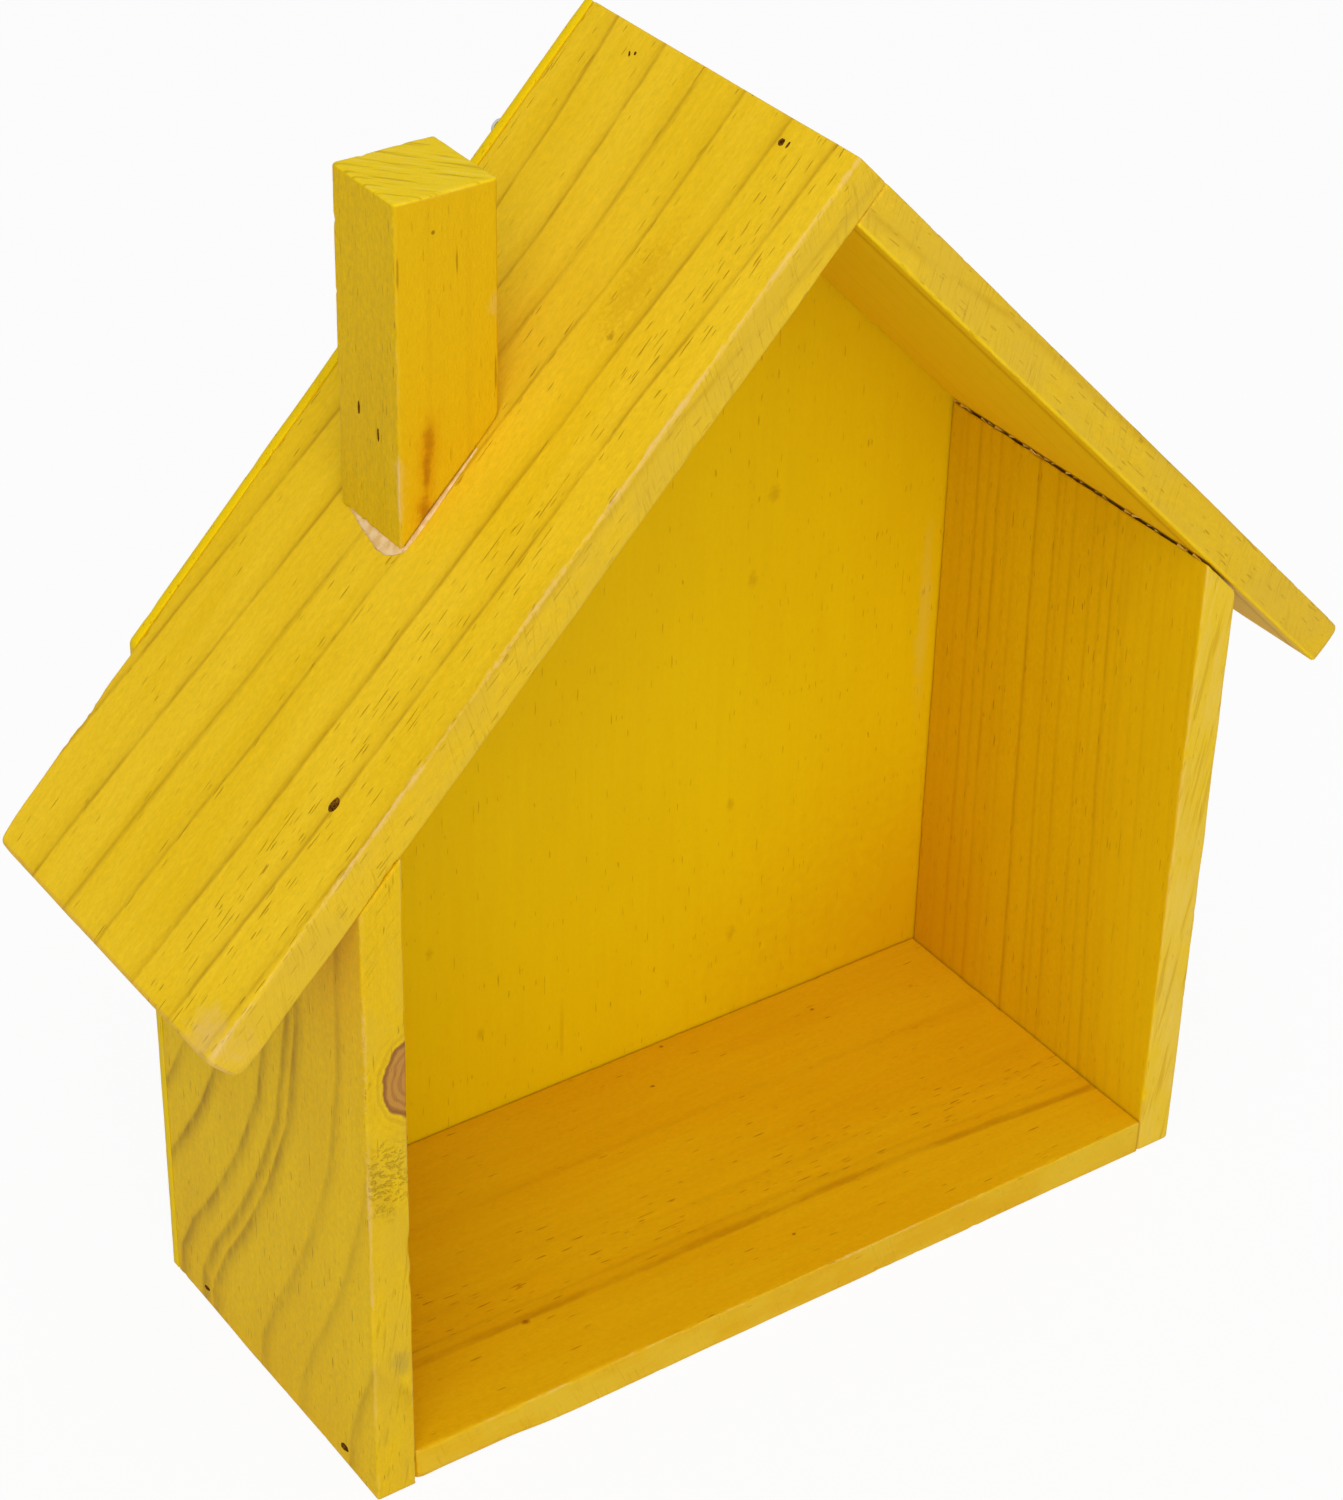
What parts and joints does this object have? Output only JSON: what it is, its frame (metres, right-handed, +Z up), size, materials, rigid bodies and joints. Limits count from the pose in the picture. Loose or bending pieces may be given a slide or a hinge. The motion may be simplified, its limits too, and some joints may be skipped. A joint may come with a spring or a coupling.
{
  "type": "house-shaped wall shelf",
  "caption": "Open-fronted wall shelf shaped like a gabled house, with a sloping board roof, a thin back panel and a square chimney.",
  "frame": {"origin": "bottom centre of the whole shelf's box, on the surface that it stands on", "axes": "+X across the front towards the right wall, +Y from the open front to the wall behind, +Z up"},
  "size_m": [0.3, 0.0966, 0.2935],
  "materials": {
    "roof_wood": "yellow stained pine, satin, arrises rubbed back",
    "wall_wood": "yellow stained pine, satin, brown growth lines",
    "floor_wood": "orange-yellow stained pine, satin",
    "panel_board": "smooth yellow painted plywood",
    "chimney_wood": "yellow stained pine with end grain on top",
    "brad_steel": "dark wire steel",
    "hanger_steel": "zinc plated pressed strip",
    "nail_steel": "bright wire nail"
  },
  "bodies": {
    "root": {"left_roof_board": "roof_wood", "right_roof_board": "roof_wood", "left_wall": "wall_wood", "right_wall": "wall_wood", "floor_board": "floor_wood", "back_panel": "panel_board", "chimney": "chimney_wood", "ridge_brads": "brad_steel", "roof_brads": "brad_steel", "left_wall_brads": "brad_steel", "right_wall_brads": "brad_steel", "chimney_brads": "brad_steel", "panel_brads": "brad_steel", "sawtooth_hanger": "hanger_steel", "hanger_nails": "nail_steel"}
  },
  "joints": []
}
